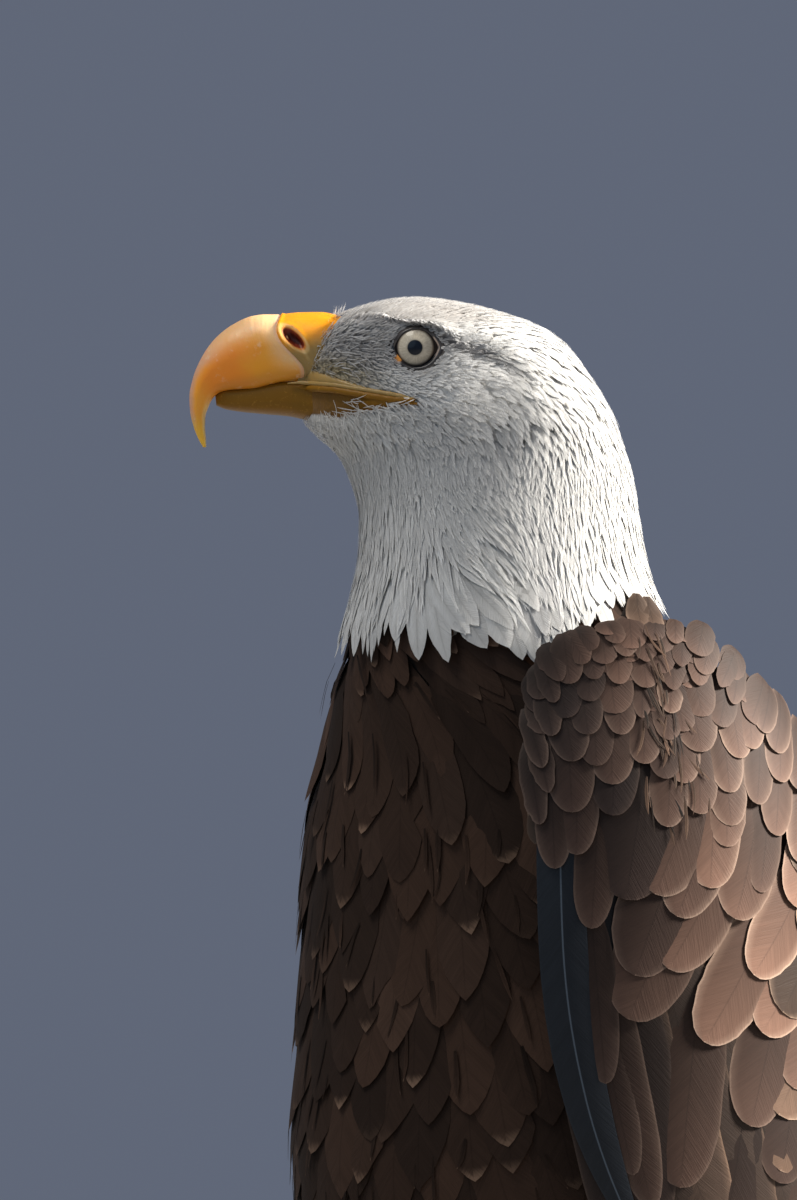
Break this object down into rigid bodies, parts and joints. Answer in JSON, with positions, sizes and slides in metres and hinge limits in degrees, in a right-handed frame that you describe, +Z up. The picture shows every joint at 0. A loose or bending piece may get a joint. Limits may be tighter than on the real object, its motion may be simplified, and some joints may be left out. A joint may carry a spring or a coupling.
{
  "type": "bald eagle",
  "caption": "Bald eagle standing upright with folded wings, its white head turned to its right over a dark brown body, with a hooked yellow bill, white tail, feathered thighs and yellow feet.",
  "frame": {"origin": "on the floor, under the centre of the bird's bounding box", "axes": "+Z up, -Y the way the body faces, +X to the bird's left"},
  "size_m": [0.2212, 0.2882, 0.7401],
  "materials": {
    "white_plumage": "soft overlapping white feathers, slightly greyed in the hollows",
    "brown_plumage": "dark brown body feathers with paler brown edges",
    "wing_plumage": "dark brown wing feathers with pale buff edges and pale shafts",
    "bill_horn": "smooth orange-yellow horn, worn paler along the front curve",
    "cere_skin": "bare bright yellow skin at the base of the bill",
    "lower_bill_horn": "duller olive-yellow horn",
    "eye": "pale cream iris with a black pupil under a wet clear cornea",
    "leg_skin": "yellow scaled skin",
    "talon_horn": "polished black horn"
  },
  "bodies": {
    "root": {"bill_lower": "lower_bill_horn", "bill_upper": "bill_horn", "cere": "cere_skin", "eye_left": "eye", "eye_right": "eye", "head": "white_plumage", "neck": "white_plumage", "tail": "white_plumage", "talon_hind_left": "talon_horn", "talon_hind_right": "talon_horn", "talon_inner_left": "talon_horn", "talon_inner_right": "talon_horn", "talon_middle_left": "talon_horn", "talon_middle_right": "talon_horn", "talon_outer_left": "talon_horn", "talon_outer_right": "talon_horn", "tarsus_left": "leg_skin", "tarsus_right": "leg_skin", "thigh_left": "brown_plumage", "thigh_right": "brown_plumage", "toe_hind_left": "leg_skin", "toe_hind_right": "leg_skin", "toe_inner_left": "leg_skin", "toe_inner_right": "leg_skin", "toe_middle_left": "leg_skin", "toe_middle_right": "leg_skin", "toe_outer_left": "leg_skin", "toe_outer_right": "leg_skin", "trunk": "brown_plumage", "wing_left": "wing_plumage", "wing_right": "wing_plumage"}
  },
  "joints": []
}
